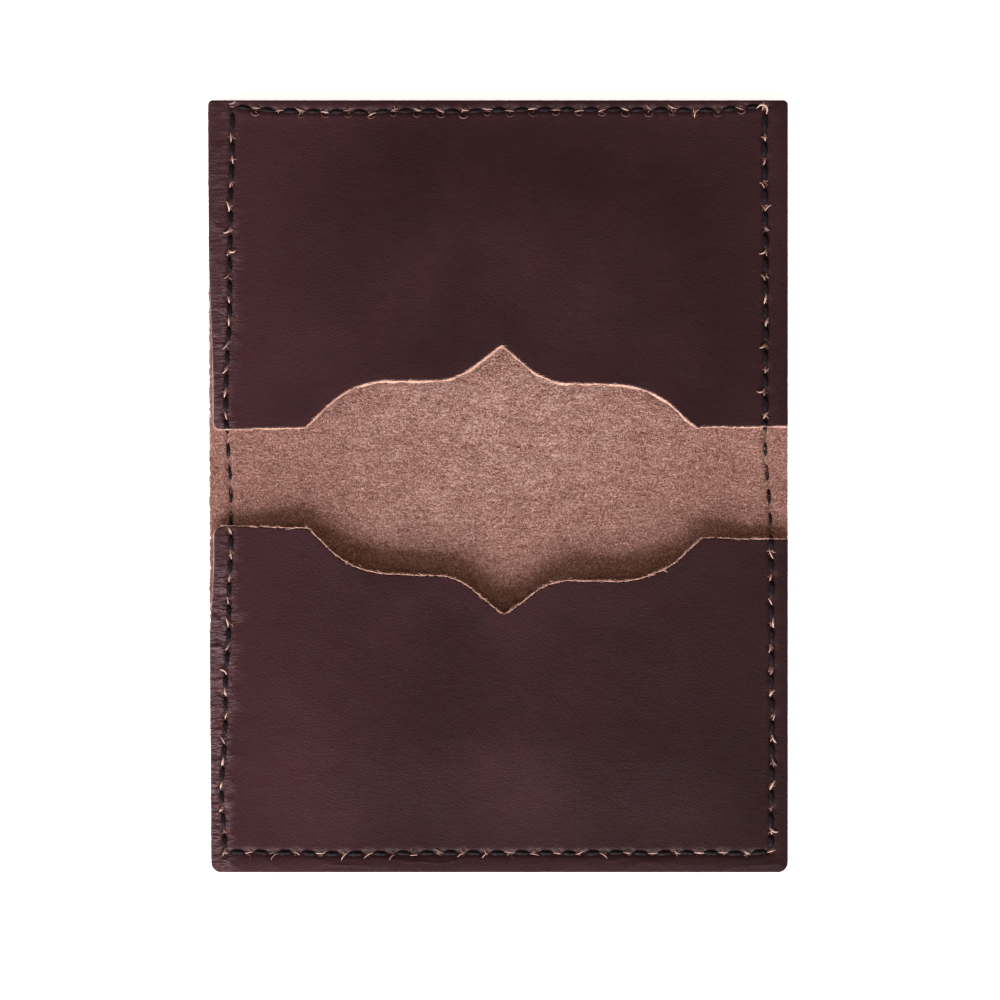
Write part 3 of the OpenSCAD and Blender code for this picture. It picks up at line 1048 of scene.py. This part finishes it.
def curled_fibres(roots, headings, lengths, widths, rise, curl, seed, points):
    """Tapered curling fibres. roots is (n, 3) and headings are level angles."""
    random = np.random.RandomState(seed)
    n = len(roots)
    t = np.linspace(0, 1, points)
    turn = headings[:, None] + random.normal(0, curl, n)[:, None] * t
    stride = lengths[:, None] / (points - 1)
    dx, dy = np.cos(turn) * stride, np.sin(turn) * stride
    x = roots[:, :1] + np.cumsum(dx, 1) - dx[:, :1]
    y = roots[:, 1:2] + np.cumsum(dy, 1) - dy[:, :1]
    z = roots[:, 2:3] + rise[:, None] * np.sin(t * math.pi * 0.8)
    radii = widths[:, None] * (1 - 0.8 * t**2)
    return np.stack([x, y, z], -1), radii


def drawn_fibres(random, roots, headings, lengths, widths, rises, curl, seed):
    """Curled fibres with a length, width and rise drawn from a range each."""
    drawn = [random.uniform(*span, len(roots)) for span in (lengths, widths, rises)]
    return curled_fibres(roots, headings, *drawn, curl, seed, 5)


def fibre_piece(name, paths, radii, shades, material, side, slot):
    verts, faces = strands(paths, radii, FIBRE_SIDES)
    per_vert = np.repeat(shades, paths.shape[1] * FIBRE_SIDES)
    piece = new_piece(name, verts, faces, [material], shade=per_vert)
    bend_over_crease(piece, side)


def hole_tufts(side):
    """What bursts out of each hole on the inside: one or two thick curls and a few fine hairs."""
    random = np.random.RandomState(131 + side)
    each = 8
    mine = HOLES[:, 1] * side > 0
    holes, ahead = HOLES[mine], NEXT[mine]
    on = np.repeat(on_pocket(holes[:, 0], holes[:, 1]), each)
    angle = np.arctan2(ahead[:, 1] - holes[:, 1], ahead[:, 0] - holes[:, 0])
    n = len(holes) * each
    rank = np.tile(np.arange(each), len(holes))
    main, thick = rank == 0, rank < 2
    chance = np.where(main, 0.96, np.where(thick, 0.8, 0.6)) * (0.35 + 0.65 * on)
    keep = random.uniform(0, 1, n) < chance
    flip = np.where(random.uniform(0, 1, n) < 0.5, 0.0, math.pi)
    spread = np.where(main, 0.16, 0.7)
    heading = np.repeat(angle, each) + flip + random.normal(0, 1, n) * spread
    length = np.where(main, random.uniform(1.3, 2.0, n), random.uniform(0.5, 1.3, n))
    along = np.stack([np.cos(heading), np.sin(heading)], 1)
    middle = np.repeat(holes, each, 0) + random.normal(0, 0.12, (n, 2))
    start = middle - along * length[:, None] * 0.5
    base = surface_z(middle[:, 0], middle[:, 1]) + random.uniform(-0.2, -0.08, n)
    roots = np.column_stack([start, base])
    rise = np.where(thick, random.uniform(0.3, 0.5, n), random.uniform(0.1, 0.4, n))
    width = np.where(main, random.uniform(0.12, 0.20, n), random.uniform(0.03, 0.07, n))
    width = np.where(thick & ~main, 0.10, width) * (0.55 + 0.45 * on)
    width = width * (1 - 0.35 * np.repeat(np.abs(np.cos(angle)), each))
    curl = np.where(main, 0.8, 1.2)
    points = 9
    paths, radii = curled_fibres(roots, heading, length, width, rise, curl, 141 + side, points)
    plump = 1 - 0.6 * np.linspace(-1, 1, points) ** 2
    radii = np.where(main[:, None], width[:, None] * plump, radii)
    shades = np.where(main, random.beta(0.8, 2.2, n), random.beta(1.1, 0.8, n))
    return paths[keep], radii[keep], shades[keep]


def hole_rings(holes, seed):
    """Reddish crescents that the needle pushed up on the inner side of each hole."""
    random = np.random.RandomState(seed)
    n = len(holes)
    t = np.linspace(0, 1, 12)
    turn = math.pi * (1.08 + 0.84 * t) + random.normal(0, 0.15, (n, 1))
    size = random.uniform(0.62, 0.9, (n, 1))
    x = holes[:, :1] + size * np.cos(turn)
    y = holes[:, 1:] - 0.35 + size * 0.95 * np.sin(turn)
    z = np.broadcast_to(rim_top - 0.03 + random.uniform(0.0, 0.08, (n, 1)), x.shape)
    radii = random.uniform(0.07, 0.13, (n, 1)) * (1 - 0.7 * np.abs(2 * t - 1) ** 2)
    return np.stack([x, y, z], -1), radii, random.uniform(0.8, 1.0, n)


def corner_loop():
    """The big hooked curl at the upper right corner, where the thread starts and ends."""
    points = [(45.5, 66.6), (46.1, 67.15), (46.8, 67.2), (47.3, 66.75), (47.4, 66.2), (47.2, 65.6)]
    knots = np.linspace(0, 1, len(points))
    t = np.linspace(0, 1, 26)
    x = wander(t, list(zip(knots, [p[0] for p in points])))
    y = wander(t, list(zip(knots, [p[1] for p in points])))
    z = rim_top + 0.45 * np.sin(math.pi * t)
    radii = 0.17 * (1 - 0.55 * np.abs(2 * t - 1) ** 3)
    return np.stack([x, y, z], -1)[None], radii[None], np.array([0.05])


def mouth_fray(pocket):
    """Fibres of a pocket's cut mouth: some stand out of it and some lie along its top edge."""
    random = np.random.RandomState(201 + pocket.side)
    n = 1500
    lying = np.arange(n) % 5 < 3
    x = random.uniform(-half_w + 1.5, half_w - 0.6, n)
    y = pocket.mouth(x)
    slope = (pocket.mouth(x + 0.1) - pocket.mouth(x - 0.1)) / 0.2
    outward = np.arctan2(-pocket.side * np.ones(n), slope)
    along = np.arctan2(slope * pocket.side, 1.0) + math.pi * random.randint(0, 2, n)
    heading = np.where(lying, along, outward) + random.normal(0, 1, n) * np.where(lying, 0.16, 0.9)
    top = pocket.base_height(x, y, 0.0)
    below = np.where(lying, random.uniform(0.02, 0.16, n), random.uniform(0.12, 1.1, n))
    out = np.where(lying, random.uniform(-0.02, 0.10, n), -0.05)
    roots = np.column_stack([x, (y - out) * pocket.side, top - below])
    length = np.where(lying, random.uniform(0.4, 1.3, n), random.uniform(0.15, 0.6, n))
    width = np.where(lying, random.uniform(0.035, 0.085, n), random.uniform(0.025, 0.055, n))
    rise = np.where(lying, random.uniform(-0.03, 0.05, n), random.uniform(-0.1, 0.15, n))
    paths, radii = curled_fibres(roots, heading, length, width, rise, 0.3, 205 + pocket.side, 6)
    beside_notch = np.abs(x - pocket.notch_x) > NOTCH_X * NOTCH_STRETCH
    keep = random.uniform(0, 1, n) < np.where(lying, 0.95 - 0.5 * beside_notch, 0.55)
    return paths[keep], radii[keep], random.uniform(0, 0.35, n)[keep]


def suede_nap(side):
    """Short lying fibres all over the bare suede."""
    random = np.random.RandomState(151 + side)
    n = 9000
    x = random.uniform(-half_w + 0.3, half_w - 0.2, n)
    y = random.uniform(0.0, 26.0, n) * side
    bare = on_pocket(x, y) < 0.02
    x, y = x[bare], y[bare]
    n = len(x)
    heading = random.uniform(-math.pi, math.pi, n)
    roots = np.column_stack([x, y, np.full(n, cover_t - 0.06)])
    lengths, widths, rises = (0.3, 1.0), (0.018, 0.045), (0.05, 0.22)
    paths, radii = drawn_fibres(random, roots, heading, lengths, widths, rises, 1.0, 161 + side)
    return paths, radii, random.uniform(0, 1, n)


def edge_fray(side):
    """Fibres that stand out of the cover's left and right edges beside the bare suede."""
    random = np.random.RandomState(171 + side)
    n = 900
    left = random.uniform(0, 1, n) < 0.8
    y = random.uniform(0.0, 44.0, n) * side
    x = np.where(left, cover_left(y) + 0.05, half_w - 0.02)
    right_ok = left | (np.abs(y) < 10)
    heading = np.where(left, math.pi, 0.0) + random.normal(0, 0.9, n)
    roots = np.column_stack([x, y, random.uniform(0.3, cover_t - 0.1, n)])
    lengths, widths, rises = (0.15, 0.5), (0.02, 0.045), (-0.1, 0.2)
    paths, radii = drawn_fibres(random, roots, heading, lengths, widths, rises, 1.2, 181 + side)
    return paths[right_ok], radii[right_ok], random.uniform(0, 0.8, right_ok.sum())


for pocket, end in POCKETS:
    fray = mouth_fray(pocket)
    fibre_piece(f"mouth_fray_{end}", *fray, NAP_FIBRE, pocket.side, "pocket_leather")
top_holes = HOLES[(HOLES[:, 1] > seam_high - 0.4) & (np.abs(HOLES[:, 0]) < 46)]
fibre_piece("hole_rings", *hole_rings(top_holes, 191), HOLE_FIBRE, 1, "pocket_leather")
fibre_piece("corner_loop", *corner_loop(), HOLE_FIBRE, 1, "pocket_leather")
for side, end in SIDES:
    fibre_piece(f"hole_fibres_{end}", *hole_tufts(side), HOLE_FIBRE, side, "pocket_leather")
    fibre_piece(f"suede_nap_{end}", *suede_nap(side), NAP_FIBRE, side, "cover_leather")
    fibre_piece(f"edge_fray_{end}", *edge_fray(side), NAP_FIBRE, side, "cover_leather")
